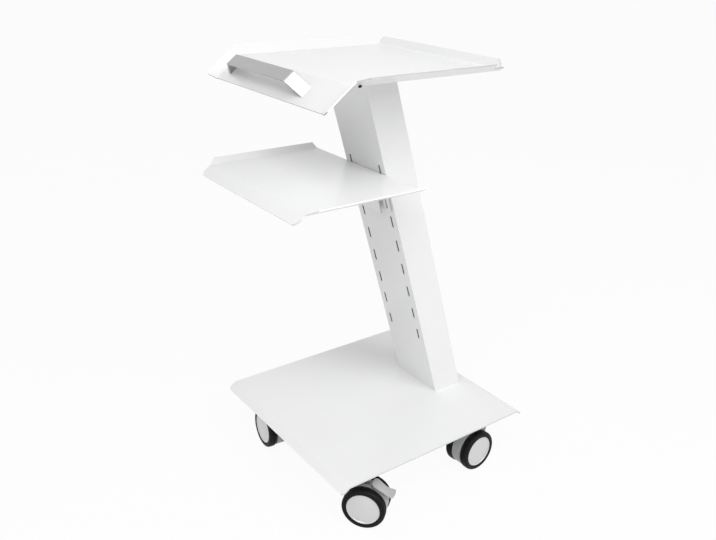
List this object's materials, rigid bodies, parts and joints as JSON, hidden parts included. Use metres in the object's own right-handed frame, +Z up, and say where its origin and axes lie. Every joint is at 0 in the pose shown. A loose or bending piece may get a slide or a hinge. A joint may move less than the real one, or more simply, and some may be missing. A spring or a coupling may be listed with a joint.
{
  "type": "medical equipment trolley",
  "caption": "White sheet-metal clinic trolley: tilted column on a square base with twin-wheel casters, a hook-on middle shelf, and a top tray with a front apron and grab handle.",
  "frame": {"origin": "Middle of the footprint, on the floor", "axes": "+X right as seen from the front, -Y to the front where the apron and handle are, +Z up"},
  "size_m": [0.427, 0.4872, 0.7965],
  "materials": {
    "white_enamel": "satin powder coat",
    "zinc_steel": "plated",
    "satin_metal": "satin",
    "black_plastic": "matte",
    "grey_plastic": "satin",
    "light_plastic": "satin",
    "tyre": "matte"
  },
  "bodies": {
    "frame": {"base_plate": "white_enamel", "column_shell": "white_enamel", "column_back_cover": "white_enamel", "cover_screws": "zinc_steel", "column_foot_plate": "white_enamel", "foot_bolts": "zinc_steel", "column_head_plate": "white_enamel", "tray_studs": "zinc_steel", "tray_nuts": "zinc_steel", "top_tray": "white_enamel", "tray_buttons": "black_plastic", "handle_bar": "satin_metal", "caster_studs": "zinc_steel", "caster_nuts": "zinc_steel", "front_right_mount": "black_plastic", "front_left_mount": "black_plastic", "rear_right_mount": "black_plastic", "rear_left_mount": "black_plastic"},
    "shelf": {"middle_shelf": "white_enamel", "shelf_bracket": "white_enamel", "shelf_studs": "zinc_steel", "shelf_nuts": "zinc_steel"},
    "front_right_caster": {"front_right_housing": "grey_plastic", "front_right_axle": "zinc_steel", "front_right_pedal_pin": "zinc_steel"},
    "front_right_wheel_a": {"front_right_tyre_a": "tyre", "front_right_hub_a": "grey_plastic", "front_right_disc_a": "light_plastic"},
    "front_right_wheel_b": {"front_right_tyre_b": "tyre", "front_right_hub_b": "grey_plastic", "front_right_disc_b": "light_plastic"},
    "front_right_brake": {"front_right_pedal": "light_plastic"},
    "front_left_caster": {"front_left_housing": "grey_plastic", "front_left_axle": "zinc_steel", "front_left_pedal_pin": "zinc_steel"},
    "front_left_wheel_a": {"front_left_tyre_a": "tyre", "front_left_hub_a": "grey_plastic", "front_left_disc_a": "light_plastic"},
    "front_left_wheel_b": {"front_left_tyre_b": "tyre", "front_left_hub_b": "grey_plastic", "front_left_disc_b": "light_plastic"},
    "front_left_brake": {"front_left_pedal": "light_plastic"},
    "rear_right_caster": {"rear_right_housing": "grey_plastic", "rear_right_axle": "zinc_steel"},
    "rear_right_wheel_a": {"rear_right_tyre_a": "tyre", "rear_right_hub_a": "grey_plastic", "rear_right_disc_a": "light_plastic"},
    "rear_right_wheel_b": {"rear_right_tyre_b": "tyre", "rear_right_hub_b": "grey_plastic", "rear_right_disc_b": "light_plastic"},
    "rear_left_caster": {"rear_left_housing": "grey_plastic", "rear_left_axle": "zinc_steel"},
    "rear_left_wheel_a": {"rear_left_tyre_a": "tyre", "rear_left_hub_a": "grey_plastic", "rear_left_disc_a": "light_plastic"},
    "rear_left_wheel_b": {"rear_left_tyre_b": "tyre", "rear_left_hub_b": "grey_plastic", "rear_left_disc_b": "light_plastic"}
  },
  "joints": [
    {"name": "shelf_lift", "type": "slide", "parent": "frame", "child": "shelf", "axis": [0, -0.2924, 0.9563], "range_m": [0, 0.008]},
    {"name": "front_right_swivel", "type": "hinge", "parent": "frame", "child": "front_right_caster", "pos_m": [0.15, -0.12115, 0.095], "axis": [0, 0, 1], "continuous": true},
    {"name": "front_right_wheel_a_spin", "type": "hinge", "parent": "front_right_caster", "child": "front_right_wheel_a", "pos_m": [0.16722, -0.10745, 0.04], "axis": [-0.6225, 0.7826, 0], "continuous": true},
    {"name": "front_right_wheel_b_spin", "type": "hinge", "parent": "front_right_caster", "child": "front_right_wheel_b", "pos_m": [0.16722, -0.10745, 0.04], "axis": [-0.6225, 0.7826, 0], "continuous": true},
    {"name": "front_right_brake_press", "type": "hinge", "parent": "front_right_caster", "child": "front_right_brake", "pos_m": [0.17035, -0.10496, 0.068], "axis": [-0.6225, 0.7826, 0], "range_deg": [0, 10]},
    {"name": "front_left_swivel", "type": "hinge", "parent": "frame", "child": "front_left_caster", "pos_m": [-0.15, -0.12115, 0.095], "axis": [0, 0, 1], "continuous": true},
    {"name": "front_left_wheel_a_spin", "type": "hinge", "parent": "front_left_caster", "child": "front_left_wheel_a", "pos_m": [-0.1281, -0.12326, 0.04], "axis": [0.0958, 0.9954, 0], "continuous": true},
    {"name": "front_left_wheel_b_spin", "type": "hinge", "parent": "front_left_caster", "child": "front_left_wheel_b", "pos_m": [-0.1281, -0.12326, 0.04], "axis": [0.0958, 0.9954, 0], "continuous": true},
    {"name": "front_left_brake_press", "type": "hinge", "parent": "front_left_caster", "child": "front_left_brake", "pos_m": [-0.12412, -0.12364, 0.068], "axis": [0.0958, 0.9954, 0], "range_deg": [0, 10]},
    {"name": "rear_right_swivel", "type": "hinge", "parent": "frame", "child": "rear_right_caster", "pos_m": [0.15, 0.17885, 0.095], "axis": [0, 0, 1], "continuous": true},
    {"name": "rear_right_wheel_a_spin", "type": "hinge", "parent": "rear_right_caster", "child": "rear_right_wheel_a", "pos_m": [0.15134, 0.15689, 0.04], "axis": [0.9981, 0.061, 0], "continuous": true},
    {"name": "rear_right_wheel_b_spin", "type": "hinge", "parent": "rear_right_caster", "child": "rear_right_wheel_b", "pos_m": [0.15134, 0.15689, 0.04], "axis": [0.9981, 0.061, 0], "continuous": true},
    {"name": "rear_left_swivel", "type": "hinge", "parent": "frame", "child": "rear_left_caster", "pos_m": [-0.15, 0.17885, 0.095], "axis": [0, 0, 1], "continuous": true},
    {"name": "rear_left_wheel_a_spin", "type": "hinge", "parent": "rear_left_caster", "child": "rear_left_wheel_a", "pos_m": [-0.16722, 0.16516, 0.04], "axis": [0.6225, -0.7826, 0], "continuous": true},
    {"name": "rear_left_wheel_b_spin", "type": "hinge", "parent": "rear_left_caster", "child": "rear_left_wheel_b", "pos_m": [-0.16722, 0.16516, 0.04], "axis": [0.6225, -0.7826, 0], "continuous": true}
  ]
}
